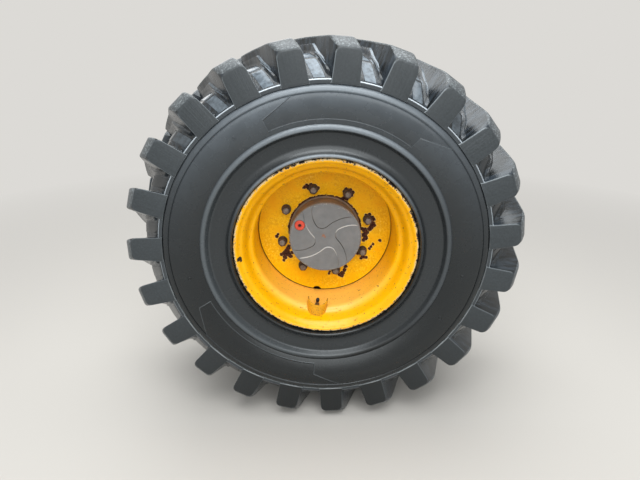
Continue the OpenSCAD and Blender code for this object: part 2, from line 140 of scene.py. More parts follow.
def eased(corners, cuts):
    """An outline's corners as points, each corner rounded by its third value in mm"""
    points = []
    for i, (out, r, ease) in enumerate(corners):
        here = Vector((out, r))
        if not ease or i in (0, len(corners) - 1):
            points.append((out, r))
            continue
        # Each curve takes up less than half of a side, so that two never meet
        before = Vector(corners[i - 1][:2]) - here
        after = Vector(corners[i + 1][:2]) - here
        start = here + before.normalized() * min(ease, before.length * 0.49)
        end = here + after.normalized() * min(ease, after.length * 0.49)
        for k in range(cuts + 1):
            t = k / cuts
            points.append(tuple(start * (1 - t) ** 2 + here * 2 * t * (1 - t) + end * t * t))
    return points


def floor_r(w):
    """The groove floor's radius at a distance from the middle plane: nearly level, then a ramp to the foot"""
    if w > RAMP_W:
        return mix(RAMP_R, FOOT_R + 10, (w - RAMP_W) / (TREAD_W - RAMP_W))
    return mix(TREAD_R, RAMP_R, (w / RAMP_W) ** 2.6)


# Working on a piece

def select_only(piece):
    """In object mode, makes a piece the one that is selected and active"""
    bpy.ops.object.select_all(action="DESELECT")
    piece.select_set(True)
    bpy.context.view_layer.objects.active = piece


def begin(name, start):
    """A new piece of one point at a place in metres, left in edit mode with that point selected"""
    bpy.ops.object.select_all(action="DESELECT")
    bpy.ops.mesh.primitive_plane_add(size=0.01, location=start)
    piece = bpy.context.object
    piece.name = piece.data.name = name
    bpy.ops.object.transform_apply()
    bpy.ops.object.mode_set(mode="EDIT")
    bpy.ops.mesh.select_mode(type="VERT")
    bpy.ops.mesh.select_all(action="SELECT")
    bpy.ops.mesh.merge(type="CENTER")
    return piece


def draw(points):
    """Carries the selected point on along the points, in metres"""
    for a, b in zip(points, points[1:]):
        bpy.ops.mesh.extrude_region_move(TRANSFORM_OT_translate={"value": b - a})


def end(angle):
    """Back to object mode, smooth but for edges over the angle"""
    bpy.ops.object.mode_set(mode="OBJECT")
    bpy.ops.object.shade_smooth_by_angle(angle=radians(angle))


def pick(piece, kind, wanted):
    """In edit mode, selects the edges or the faces that are wanted, and nothing else"""
    modes = {"edges": "EDGE", "faces": "FACE"}
    bpy.ops.mesh.select_all(action="DESELECT")
    bpy.ops.mesh.select_mode(type=modes[kind])
    mesh = bmesh.from_edit_mesh(piece.data)
    for item in getattr(mesh, kind):
        item.select = bool(wanted(item))
    mesh.select_flush_mode()
    bmesh.update_edit_mesh(piece.data)


def turned(name, outline, steps, angle):
    """A piece turned about the axle from points of (outboard distance, radius)"""
    points = [at(out, r) for out, r in outline]
    piece = begin(name, points[0])
    draw(points)
    bpy.ops.mesh.select_all(action="SELECT")
    bpy.ops.mesh.spin(steps=steps, angle=2 * pi, center=(0, 0, 0), axis=(0, 1, 0))
    bpy.ops.mesh.select_all(action="SELECT")
    bpy.ops.mesh.remove_doubles(threshold=1e-6)
    bpy.ops.mesh.normals_make_consistent(inside=False)
    end(angle)
    return piece


def finished(piece, body, slot, *materials, stands_for=()):
    """Gives a piece its body, its materials and the CAD nodes that it stands for; the slot is not used"""
    if materials:
        piece.data.materials.clear()
    for look in materials:
        piece.data.materials.append(look)
    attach(piece, body)
    if stands_for:
        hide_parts(*stands_for)


def apply_all(piece):
    """Applies a piece's modifiers in their order"""
    select_only(piece)
    for modifier in list(piece.modifiers):
        bpy.ops.object.modifier_apply(modifier=modifier.name)


def spread_pads(piece):
    """Spreads the foot of the raised pads on the cover, so that their walls slope as a casting's do"""
    mesh = bmesh.from_edit_mesh(piece.data)
    face = min(v.co.y for v in mesh.verts)
    moves = []
    for v in mesh.verts:
        walls = [f.normal for f in v.link_faces if abs(f.normal.y) < 0.3]
        if abs(v.co.y - face - PAD_H * MM) < 1e-4 and hypot(v.co.x, v.co.z) < PADS_R * MM and walls:
            moves.append((v, sum(walls, Vector()).normalized() * PAD_SPREAD * MM))
    for v, move in moves:
        v.co += move
    bmesh.update_edit_mesh(piece.data)


def eased_copy(name, node, edge, cuts, reshape=None):
    """A copy of a CAD node with its doubles merged and its sharp edges rounded, as cast or machined metal is"""
    select_only(frame["nodes"][node])
    bpy.ops.object.duplicate()
    piece = bpy.context.object
    bpy.ops.object.parent_clear(type="CLEAR_KEEP_TRANSFORM")
    for key in [k for k in piece.keys() if k.startswith("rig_")]:
        del piece[key]
    piece.name = piece.data.name = name
    bpy.ops.object.mode_set(mode="EDIT")
    bpy.ops.mesh.customdata_custom_splitnormals_clear()
    bpy.ops.mesh.select_all(action="SELECT")
    bpy.ops.mesh.remove_doubles(threshold=2e-6)
    bpy.ops.mesh.dissolve_limited(angle_limit=radians(1))
    if reshape:
        reshape(piece)
    bpy.ops.object.mode_set(mode="OBJECT")
    rounding = piece.modifiers.new("rounding", "BEVEL")
    rounding.width = edge * MM
    rounding.segments = cuts
    rounding.limit_method = "ANGLE"
    rounding.angle_limit = radians(28)
    rounding.harden_normals = False
    apply_all(piece)
    bpy.ops.object.shade_smooth_by_angle(angle=radians(30))
    flat_faces = piece.modifiers.new("flat_faces", "WEIGHTED_NORMAL")
    flat_faces.keep_sharp = True
    flat_faces.weight = 90
    apply_all(piece)
    return piece


# Materials

def linear(hexcode):
    """An sRGB hex colour as linear values"""
    parts = [int(hexcode[i:i + 2], 16) / 255 for i in (1, 3, 5)]
    return tuple(p / 12.92 if p <= 0.04045 else ((p + 0.055) / 1.055) ** 2.4 for p in parts) + (1.0,)


def fill(tree, socket, value):
    """Sets a socket to a number or an sRGB hex colour, or links it to an output, for a node its first one"""
    if isinstance(value, bpy.types.Node):
        value = next(output for output in value.outputs if output.enabled)
    if isinstance(value, bpy.types.NodeSocket):
        tree.links.new(value, socket)
    else:
        socket.default_value = linear(value) if isinstance(value, str) else value


def add(tree, kind, *inputs, **named):
    """Adds a node of a kind, such as "TexNoise" or "Math ADD", and fills its sockets in their order or by name"""
    kind, _, mode = kind.partition(" ")
    made = tree.nodes.new("ShaderNode" + kind)
    if mode:
        setattr(made, "data_type" if kind == "Mix" else "operation", mode)
    for socket, value in zip([socket for socket in made.inputs if socket.enabled], inputs):
        fill(tree, socket, value)
    for name, value in named.items():
        fill(tree, made.inputs[name], value)
    return made


def material(name, colour, roughness, **sockets):
    """A material with its shader's constants, and the object's own coordinates in metres"""
    made = bpy.data.materials.new(name)
    made.use_nodes = True
    tree = made.node_tree
    shader = tree.nodes["Principled BSDF"]
    for socket, value in {"Base Color": colour, "Roughness": roughness, **sockets}.items():
        fill(tree, shader.inputs[socket.replace("_", " ")], value)
    return made, tree, shader, add(tree, "TexCoord").outputs["Object"]


def surface(tree, shader, colour=None, roughness=None, height=None, depth=1.0):
    """Gives a shader its colour, its roughness and a relief, from a height pattern and its depth in mm"""
    if height is not None:
        height = add(tree, "Bump", Height=height, Distance=depth * MM)
    for socket, value in (("Base Color", colour), ("Roughness", roughness), ("Normal", height)):
        if value is not None:
            fill(tree, shader.inputs[socket], value)


def layered(tree, colour, *layers):
    """Lays colours over a colour, each (the colour, and the shares whose product is how much of it shows)"""
    for over, share, *others in layers:
        for other in others:
            share = add(tree, "Math MULTIPLY", share, other)
        colour = add(tree, "Mix RGBA", share, colour, over)
    return colour


def summed(tree, value, *parts):
    """Adds to a value, each part (how much of it there is, its amount)"""
    for share, amount in parts:
        value = add(tree, "Math MULTIPLY_ADD", share, amount, value)
    return value


def blotches(size):
    """The noise scale at which the blotches are about a size in mm"""
    return 1 / (size * MM)


def coordinates(tree, place):
    """In metres, a point's x and z, its distance from the axle's line and how far out from the tyre's middle it is"""
    x, y, z = add(tree, "SeparateXYZ", place).outputs
    r = add(tree, "VectorMath LENGTH", add(tree, "CombineXYZ", x, 0, z))
    out = add(tree, "Math ABSOLUTE", add(tree, "Math ADD", y, MIDDLE * MM))
    return x, z, r, out


def band(tree, value, edges):
    """1 between the middle two of four edges in mm, falling to 0 at the outer two"""
    start, full, full_to, stop = metres(edges)
    rise, fall = add(tree, "MapRange", value, start, full), add(tree, "MapRange", value, stop, full_to)
    return add(tree, "Math MULTIPLY", rise, fall)


def towards(tree, x, z, r, angle):
    """1 towards an angle round the axle, falling to -1 opposite it"""
    along_x = add(tree, "Math MULTIPLY", x, cos(radians(angle)))
    along_z = add(tree, "Math MULTIPLY", z, sin(radians(angle)))
    return add(tree, "Math DIVIDE", add(tree, "Math ADD", along_x, along_z), r)


def left_of(tree, x, z, a, b):
    """How far a point lies to the left of the line from a to b, each (radius in mm, angle), in metres"""
    start, stop = at(0, *a), at(0, *b)
    across = Vector((start.z - stop.z, 0, stop.x - start.x)).normalized()
    along_x = add(tree, "Math MULTIPLY", x, across.x)
    along_z = add(tree, "Math MULTIPLY", z, across.z)
    return add(tree, "Math SUBTRACT", add(tree, "Math ADD", along_x, along_z), across.dot(start))


def panel_depth(tree, x, z, r, start, sense):
    """How far a point lies inside a bare moulded panel that runs round the sidewall from an angle"""
    def line(a, b):
        ends = [(a[0], start + sense * a[1]), (b[0], start + sense * b[1])]
        return left_of(tree, x, z, *(ends if sense > 0 else ends[::-1]))

    depth = add(tree, "Math SUBTRACT", r, PANEL_IN_R * MM)
    for side in (
        add(tree, "Math SUBTRACT", PANEL_OUT_R * MM, r), line((364, 0), (395, 0)), line((395, 0), (429, 11.9)),
        add(tree, "Math MAXIMUM", line((394, 60.3), (364, 60.1)), line((429, 71.1), (394, 60.3))),
    ):
        depth = add(tree, "Math MINIMUM", depth, side)
    return depth


def flakes(tree, x, z, wobble, spots):
    """How far a point lies inside ragged spots, each (x, z, size) in mm round the axle, in metres"""
    flat = add(tree, "CombineXYZ", x, 0, z)
    inside = None
    for spot_x, spot_z, size in spots:
        gap = add(tree, "VectorMath DISTANCE", flat, (spot_x * MM, 0, spot_z * MM))
        here = add(tree, "Math SUBTRACT", size * MM, gap)
        inside = here if inside is None else add(tree, "Math MAXIMUM", inside, here)
    return summed(tree, inside, (add(tree, "Math SUBTRACT", wobble, 0.5), RAGGED * MM))


def near(tree, x, z, middle, reach, fade):
    """1 within a reach of a middle, (radius, angle), falling to 0 over a fade, in mm"""
    gap = add(tree, "VectorMath DISTANCE", add(tree, "CombineXYZ", x, 0, z), at(0, *middle))
    return add(tree, "MapRange", gap, (reach + fade) * MM, reach * MM)


def tyre_rubber():
    """Moulded carbon-black rubber: a satin sidewall with two recessed panels, greyer towards the top as a painted
    sheen, with painted highlights on its raised rings, matt lug faces with painted shade, smooth dark flanks and
    scuffed treads"""
    made, tree, shader, place = material(
        "moulded_tyre_rubber", "#1e1f20", 0.3, IOR=1.52, Specular_Tint=(0.91, 0.97, 1.0, 1.0))
    x, z, r, out = coordinates(tree, place)
    cloud = add(tree, "TexNoise", place, blotches(45), 4, 0.6)
    dust = add(tree, "TexNoise", place, blotches(5), 5, 0.7)
    up = towards(tree, x, z, r, 90)
    above = add(tree, "Math MAXIMUM", up, 0)

    # A painted sheen towards the top, but for the hollow band between bead and ridge, and painted highlights on the
    # raised rings
    off_band = add(
        tree, "Math MAXIMUM", add(tree, "MapRange", r, *metres(BESIDE_BEAD)),
        add(tree, "MapRange", r, *metres(BESIDE_RIDGE)))
    outward = add(
        tree, "Math MAXIMUM", add(tree, "MapRange", r, *metres(SHEEN_THICKENS), 0.45, 1),
        add(tree, "MapRange", r, *metres(SHEEN_ON_RIDGE)))
    crest = band(tree, r, CREST)
    # painted highlights on the raised rings where they face up: the outer ring, the ridge's crest and the bead
    ring = add(tree, "Math MULTIPLY", band(tree, r, OUTER_RING), add(tree, "Math POWER", above, 6))
    inner_ring_sheen = add(tree, "Math MULTIPLY", add(tree, "Math MAXIMUM", crest, band(tree, r, BEAD)), 1.7)
    inner_ring_sheen = add(tree, "Math MULTIPLY", inner_ring_sheen, add(tree, "Math POWER", above, 3))
    colour = layered(
        tree, "#151718",
        # painted sheen: the sidewall lighter and bluish grey towards the top, in patches
        ("#5c646b", add(tree, "Math POWER", add(tree, "MapRange", up, -1, 1), 4),
         add(tree, "MapRange", cloud, 0.3, 0.7, 0.85, 1.1), off_band, outward),
        ("#282b2d", add(tree, "MapRange", off_band, 1, 0)),
        # painted sheen on the ridge's crest, all round but for the bottom
        ("#42474b", crest, add(tree, "MapRange", up, -0.9, -0.4, 0, 0.8)),
        # painted sheen on the ridge, strongest towards the lower left
        ("#5d6468", band(tree, r, RIDGE), add(tree, "MapRange", towards(tree, x, z, r, 200), 0.1, 0.8, 0, 0.5)),
        # painted highlights on the raised rings
        ("#8c969e", add(tree, "Math MAXIMUM", ring, inner_ring_sheen), 0.4))

    # The bare panels, a little deeper and darker than the sidewall round them, less so towards the top as painted
    # light, with a fine rib round each that is lighter as a painted highlight
    depth = add(
        tree, "Math MAXIMUM", panel_depth(tree, x, z, r, 113.7, -1), panel_depth(tree, x, z, r, -155.7, 1))
    depth = add(tree, "Math MINIMUM", depth, add(tree, "Math SUBTRACT", out, 0.18))
    recess = add(tree, "MapRange", depth, 0, 0.0016)
    from_rib = add(tree, "Math ABSOLUTE", add(tree, "Math ADD", depth, 0.001))
    rib = add(tree, "MapRange", from_rib, 0.0016, 0.0003)

    # The tread's lugs: streaked flanks, the ledge at the grooves' foot with a painted highlight on its edge, scuffed
    # tops that face out from the axle, side faces with painted shade and a painted highlight on their edge, a patchy
    # painted highlight along the lip where the side ends in the tread, and painted highlights on the tread's sharp
    # edges
    tread = add(tree, "MapRange", r, *metres(TREAD))
    side_face = add(tree, "Math MULTIPLY", tread, add(tree, "MapRange", out, *metres(LUG_SIDE_W)))
    lean = add(tree, "Math MULTIPLY", add(tree, "Math MAXIMUM", add(tree, "Math SUBTRACT", out, LEAN_W * MM), 0), 0.5)
    crown = add(tree, "MapRange", add(tree, "Math ADD", r, lean), *metres(LUG_TOP))
    round_flanks = add(tree, "CombineXYZ", add(tree, "Math DIVIDE", x, r), out, add(tree, "Math DIVIDE", z, r))
    streak = add(tree, "TexNoise", round_flanks, blotches(14), 4, 0.6)
    ledge = add(tree, "Math MULTIPLY", tread, add(tree, "MapRange", out, *metres(LEDGE_W)))
    ledge = add(tree, "Math MULTIPLY", add(tree, "MapRange", r, *metres(LEDGE)), ledge)
    # the side faces: painted shade, darker towards the bottom and a little darker at the very top
    face = layered(
        tree, "#121415",
        (layered(tree, "#2e3336", ("#3b4145", add(tree, "MapRange", dust, 0.4, 0.7))),
         add(tree, "MapRange", up, -1, -0.25)),
        ("#1a1d1f", add(tree, "MapRange", up, 0.6, 1, 0, 0.3)))
    colour = layered(
        tree, colour,
        # the panels darker, less so towards the top as painted light
        ("#0d0e0f", recess, add(tree, "MapRange", up, 0, 0.9, 0.4, 0.28)),
        # painted highlight on the ribs
        ("#70787d", rib, 0.3),
        (layered(tree, "#111416", ("#323a42", add(tree, "MapRange", streak, 0.4, 0.66))), tread),
        ("#34393d", ledge),
        # painted highlight on the ledge's edge, strongest towards the top
        ("#b4bec6", ledge, add(tree, "MapRange", r, *metres(LEDGE_HIGHLIGHT)),
         add(tree, "MapRange", up, -0.7, 0.9, 0.2, 1)),
        ("#43484b", crown),
        ("#949ca0", crown, add(tree, "MapRange", dust, 0.5, 0.66, 0, 0.7)),
        (face, side_face),
        # painted highlight along the side faces' edge, strongest towards the top
        ("#747c81", band(tree, out, FACE_EDGE), tread, add(tree, "MapRange", up, -1, 0.4, 0.15, 0.75),
         add(tree, "MapRange", r, *metres(FACE_EDGE_ENDS))),
        # painted highlight along the lip, the floor's reflection, strongest towards the bottom and in patches
        ("#a3aaad", band(tree, r, LIP), add(tree, "MapRange", up, 0.1, -0.6, 0, 0.75),
         add(tree, "MapRange", cloud, 0.3, 0.55, 0.6, 1)),
        # painted highlight along the tread's sharp edges
        ("#777d80", add(tree, "MapRange", add(tree, "NewGeometry").outputs["Pointiness"], 0.53, 0.6), tread, 0.55))
    rough = summed(
        tree, add(tree, "MapRange", cloud, 0.3, 0.7, 0.24, 0.3),
        (tread, -0.06), (side_face, 0.26), (crown, 0.2), (crest, add(tree, "MapRange", up, -0.4, -0.9, 0, 0.08)))

    # The mould's grain, drawn coarser than it is so that it shows, the panels' steps and the streaks
    grain = add(tree, "TexNoise", place, blotches(1.6), 3, 0.6)
    skin = summed(
        tree, add(tree, "Math MULTIPLY", add(tree, "Math ADD", grain, dust), 0.07),
        (recess, -1.3), (rib, 0.7), (add(tree, "Math MULTIPLY", tread, streak), 0.9))
    surface(tree, shader, colour, rough, skin)
    return made


def groove_rubber():
    """The same rubber where the mould was polished, on the groove floors, with a painted bluish sheen where they face
    up
    """
    made, tree, shader, place = material(
        "polished_groove_rubber", "#1e1f20", 0.16, IOR=1.52, Specular_Tint=(0.84, 0.93, 1.0, 1.0))
    x, z, r, out = coordinates(tree, place)
    cloud = add(tree, "TexNoise", place, blotches(14), 5, 0.6)
    # painted sheen: the floors lighter and bluish where they face up
    sheen_facing_up = add(tree, "MapRange", towards(tree, x, z, r, 92), 0.45, 1)
    colour = layered(tree, "#181b1d", ("#727e88", sheen_facing_up, add(tree, "MapRange", cloud, 0.35, 0.6, 0.45, 1)))
    ripple = add(tree, "TexNoise", place, blotches(6), 3, 0.5)
    surface(tree, shader, colour, add(tree, "MapRange", cloud, 0.3, 0.7, 0.13, 0.22), ripple, 0.12)
    return made


def rim_paint():
    """Thick gloss enamel on rolled steel, chipped along the flange's edge to pale primer and to black and rusty
    steel, with a painted pale sheen at the bottom of the well"""
    made, tree, shader, place = material("yellow_rim_enamel", "#f8b400", 0.25, IOR=1.45, Specular_IOR_Level=0.4)
    x, z, r, out = coordinates(tree, place)
    cloud = add(tree, "TexNoise", place, blotches(45), 5, 0.6)
    chips = add(tree, "TexNoise", place, blotches(7), 6, 0.7)
    dots = add(tree, "TexNoise", place, blotches(6), 2, 0.5)
    # Chips crowd the flange's edge, most at the upper right and the lower left
    hard_hit = add(tree, "Math MAXIMUM", towards(tree, x, z, r, 45), towards(tree, x, z, r, 232))
    crowded = add(tree, "TexNoise", place, blotches(38), 3, 0.6)
    crowded = add(
        tree, "Math ADD", add(tree, "MapRange", crowded, 0.4, 0.62, 0.02, 0.19),
        add(tree, "MapRange", hard_hit, 0.55, 1, 0, 0.06))
    hit = summed(tree, chips, (add(tree, "MapRange", r, *metres(FLANGE_CHIPS)), crowded))
    bare = add(tree, "MapRange", hit, 0.62, 0.635)
    for more in (
        add(tree, "MapRange", flakes(tree, x, z, chips, [(-244.8, -26, 6.5), (-241, -34, 3)]), 0, 0.0005),
        add(tree, "MapRange", dots, 0.755, 0.765),
    ):
        bare = add(tree, "Math MAXIMUM", bare, more)
    worn_thin = add(
        tree, "Math MULTIPLY", add(tree, "MapRange", r, *metres(PRIMER_WORN)),
        add(tree, "MapRange", cloud, 0.42, 0.48))
    round_chips = add(
        tree, "Math MULTIPLY", add(tree, "MapRange", r, *metres(PRIMER_ROUND_CHIPS)),
        add(tree, "MapRange", hit, 0.575, 0.59))
    colour = layered(
        tree, "#f4ae00",
        ("#fdbe00", add(tree, "MapRange", cloud, 0.3, 0.75)),
        ("#e2cda2", add(tree, "Math MAXIMUM", worn_thin, round_chips), 0.85),
        # painted sheen, pale, at the bottom of the well
        ("#fbdc98", add(tree, "MapRange", towards(tree, x, z, r, -92), 0.25, 0.95),
         add(tree, "MapRange", r, *metres(WELL_SHEEN)), 0.3),
        # painted shade on the rim's floor where it shows through the disc's notch
        ("#1d130b", near(tree, x, z, NOTCH, 14, 1), add(tree, "MapRange", out, *metres(NOTCH_FLOOR_W))),
        (layered(tree, "#221a17", ("#5f3421", add(tree, "MapRange", chips, 0.55, 0.72))), bare))
    peel = add(tree, "Math MULTIPLY", add(tree, "TexNoise", place, blotches(5), 2, 0.4), 0.1)
    surface(
        tree, shader, colour, add(tree, "MapRange", bare, 0, 1, 0.25, 0.8),
        add(tree, "Math SUBTRACT", peel, bare), 0.35)
    return made


# Rust flakes on the disc, as (x, z, size) in mm round the axle
DISC_RUST = [
    (-62, 138, 4), (-55, 142, 4.5), (-50, 135, 4.5), (-43, 143, 5), (-38, 137, 5), (-30, 142, 4), (-22, 135, 3.5),
    (59, 126, 3.5), (64, 130, 3.5), (77, 129, 3.5), (84, 121, 3.5), (81, 112, 4), (61, 106, 4.5), (55, 101, 4.5),
    (127, 48, 3), (138, 50, 3), (148, 40, 3.5), (153, 33, 4), (150, 20, 6), (146, 9, 6), (155, 14, 4), (140, 1, 5),
    (124, -1, 6), (130, -9, 7), (124, -18, 6.5), (129, -28, 6), (123, -35, 4), (117, 3, 4.5), (153, -50, 2.5),
    (147, -57, 3), (142, -64, 2.5), (106, -79, 3.5), (110, -64, 3), (118, -96, 3.5), (126, -94, 3.5), (133, -95, 3),
    (17, -144, 2.5), (14, -151, 2), (29, -144, 4), (40, -144, 4.5), (49, -154, 5), (57, -149, 6), (64, -139, 5),
    (68, -126, 4.5), (56, -159, 4), (-138, -83, 3.5), (-129, -78, 6), (-120, -71, 7), (-115, -61, 5.5),
    (-116, -83, 7), (-127, -92, 6), (-109, -90, 4.5), (-132, -102, 3), (-104, -77, 4), (-108, -41, 3),
    (-113, -54, 4), (-150, -22, 3.5), (-147, -15, 2.5), (175, -36, 3), (68, 100, 3),
]


def disc_paint():
    """The same enamel on pressed plate, mottled by rust that blooms through it and flaked off round the nuts"""
    made, tree, shader, place = material("yellow_disc_enamel", "#fabb04", 0.4, IOR=1.45, Specular_IOR_Level=0.2)
    x, z, r, out = coordinates(tree, place)
    cloud = add(tree, "TexNoise", place, blotches(50), 5, 0.6)
    fine = add(tree, "TexNoise", place, blotches(4), 5, 0.7)
    ragged = add(tree, "TexNoise", place, blotches(11), 6, 0.75)
    # Bare steel: the flakes, a ring round the bore and pits
    inside = add(tree, "Math ADD", flakes(tree, x, z, ragged, DISC_RUST), 0.0024)
    bore = summed(
        tree, add(tree, "Math SUBTRACT", RUSTY_BORE_R * MM, r), (add(tree, "Math SUBTRACT", ragged, 0.5), 0.024))
    pits = add(tree, "Math SUBTRACT", add(tree, "TexNoise", place, blotches(9), 3, 0.6), 0.735)
    for more in (bore, add(tree, "Math MULTIPLY", pits, 0.03)):
        inside = add(tree, "Math MAXIMUM", inside, more)
    gone = add(tree, "MapRange", inside, 0, 0.0005)
    # The dark joint where the plate meets the rim, darkened towards the bottom as painted shade, and painted shade in
    # the notch
    gap = add(
        tree, "Math MULTIPLY", add(tree, "MapRange", r, *metres(DISC_LINE)),
        add(tree, "MapRange", towards(tree, x, z, r, -100), -0.7, 0.3, 0.25, 1))
    bloom = add(tree, "MapRange", summed(tree, fine, (cloud, 0.6)), 0.79, 0.92)
    pale = add(tree, "Math SUBTRACT", add(tree, "Math MULTIPLY", cloud, 0.5), fine)
    colour = layered(
        tree, "#fab602",
        ("#ffd312", add(tree, "MapRange", cloud, 0.3, 0.7)),
        ("#d98c0c", bloom, 0.5),
        ("#ffdb6a", add(tree, "MapRange", pale, -0.14, -0.02), 0.6),
        ("#ffdf90", add(tree, "MapRange", inside, -0.0012, 0), 0.8),
        (layered(tree, "#2c1c18", ("#5e3a2c", add(tree, "MapRange", fine, 0.4, 0.62))), gone),
        # painted shade along the joint, strongest at the bottom, and in the notch
        ("#25160c", add(tree, "Math MAXIMUM", gap, near(tree, x, z, NOTCH, 14, 1))))
    skin = summed(tree, add(tree, "Math MULTIPLY", fine, 0.2), (gone, -0.7))
    surface(tree, shader, colour, add(tree, "MapRange", gone, 0, 1, 0.4, 0.85), skin)
    return made


def weld_paint():
    """A painted weld bead, painted black as shade where it shows in the disc's notch"""
    made, tree, shader, place = material("painted_weld", "#f2a806", 0.4, IOR=1.45)
    x, z, r, out = coordinates(tree, place)
    # painted shade, black, where the bead shows in the notch
    colour = layered(tree, "#f2a806", ("#1d130b", near(tree, x, z, NOTCH, 16, 1)))
    surface(tree, shader, colour, height=add(tree, "TexNoise", place, blotches(5), 3))
    return made


def rusty_iron():
    """Machined cast iron with thin paint gone to brown rust, rubbed greyer at its outer end"""
    made, tree, shader, place = material("rusty_cast_iron", "#6a5547", 0.7, IOR=1.5)
    blotch = add(tree, "TexNoise", place, blotches(16), 6, 0.65)
    fine = add(tree, "TexNoise", place, blotches(2.5), 4, 0.7)
    colour = layered(
        tree, "#686059",
        ("#85735f", add(tree, "MapRange", blotch, 0.35, 0.65)),
        ("#3c322b", add(tree, "MapRange", fine, 0.6, 0.75)),
        ("#8b8983", add(tree, "MapRange", coordinates(tree, place)[3], *metres(HUB_RUBBED_W), 0, 0.7)))
    surface(tree, shader, colour, height=fine, depth=0.5)
    return made


def cover_paint():
    """Satin machine grey sprayed over a turned casting: painted highlights on the pads' edges that face up, painted
    shade on those that face down, a rust mark in the middle and handling chips at the rim"""
    made, tree, shader, place = material("grey_cover_paint", "#757672", 0.48, IOR=1.5)
    x, z, r, out = coordinates(tree, place)
    fine = add(tree, "TexNoise", place, blotches(2.2), 4, 0.6)
    facing = add(tree, "SeparateXYZ", add(tree, "TexCoord").outputs["Normal"]).outputs["Z"]
    inner = add(tree, "MapRange", r, *metres(COVER_PADS))
    chips = add(tree, "TexNoise", place, blotches(5), 4, 0.7)
    mark = flakes(tree, x, z, add(tree, "TexNoise", place, blotches(4), 3), [(-6, 7, 4.5), (-2, 3, 2.5)])
    colour = layered(
        tree, "#686a6b",
        ("#767778", add(tree, "MapRange", add(tree, "TexNoise", place, blotches(30), 5, 0.6), 0.3, 0.7)),
        ("#a09d94", add(tree, "MapRange", fine, 0.68, 0.8, 0, 0.6)),
        # painted highlights on the pads' edges that face up
        ("#a9a9a6", inner, add(tree, "MapRange", facing, 0.15, 0.4)),
        # painted shade on the pads' edges that face down
        ("#2b2a28", inner, add(tree, "MapRange", facing, -0.1, -0.3)),
        ("#c2bfb6", add(tree, "MapRange", r, *metres(COVER_CHIPS)), add(tree, "MapRange", chips, 0.6, 0.64), 0.8),
        ("#8d5f46", add(tree, "MapRange", mark, -0.001, 0.001)))
    surface(tree, shader, colour, height=fine, depth=0.12)
    return made


def plug_plastic():
    """Moulded red plastic, slightly faded, dark inside its key hole"""
    made, tree, shader, place = material("red_moulded_plastic", "#c64634", 0.38, IOR=1.46)
    x, z, r, out = coordinates(tree, place)
    surface(tree, shader, layered(
        tree, "#b93a29",
        ("#d6523d", add(tree, "TexNoise", place, blotches(8), 4)),
        ("#1a0d0a", near(tree, x, z, (PLUG_R, PLUG_ANGLE), 4.4, 1.2))))
    return made


def guard_paint():
    """The rim's enamel on a bent plate, duller, with painted shade along its edges"""
    made, tree, shader, place = material("yellow_guard_enamel", "#e6a91c", 0.42, IOR=1.45, Specular_IOR_Level=0.25)
    chips = add(tree, "TexNoise", place, blotches(5), 5, 0.7)
    # painted shade along the plate's edges, broken up by noise
    shaded_edges = summed(tree, add(tree, "NewGeometry").outputs["Pointiness"], (chips, 0.08))
    colour = layered(
        tree, "#e6a81a",
        ("#cf9526", add(tree, "MapRange", chips, 0.35, 0.6)),
        ("#2c211a", add(tree, "MapRange", shaded_edges, 0.582, 0.6)))
    surface(tree, shader, colour, height=chips, depth=0.3)
    return made


def fastener_steel():
    """Phosphated steel, dull and rusted brown"""
    made, tree, shader, place = material("phosphated_steel", "#453e3a", 0.62, Metallic=0.2)
    blotch = add(tree, "TexNoise", place, blotches(7), 5, 0.65)
    colour = layered(tree, "#3a3431", ("#5c4638", add(tree, "MapRange", blotch, 0.4, 0.65)))
    surface(tree, shader, colour, height=blotch, depth=0.3)
    return made


def stud_steel():
    """The studs' ends, rubbed greyer than the nuts"""
    made, tree, shader, place = material("rubbed_steel", "#7c756f", 0.5, Metallic=0.3)
    blotch = add(tree, "TexNoise", place, blotches(6), 5, 0.65)
    surface(tree, shader, layered(tree, "#878078", ("#665850", add(tree, "MapRange", blotch, 0.4, 0.65))))
    return made


def valve_brass():
    """Turned brass, dulled to a grey yellow in cloudy patches"""
    made, tree, shader, place = material("dull_brass", "#8a7c58", 0.5, Metallic=0.8)
    surface(tree, shader, layered(tree, "#6c6248", ("#9a8c66", add(tree, "TexNoise", place, blotches(4), 4))))
    return made


def cap_plastic():
    """Moulded black plastic, half matt with a grain that is drawn coarser than it is"""
    made, tree, shader, place = material("black_moulded_plastic", "#1d1d1e", 0.5, IOR=1.46)
    surface(tree, shader, height=add(tree, "TexNoise", place, blotches(1.2), 4), depth=0.1)
    return made


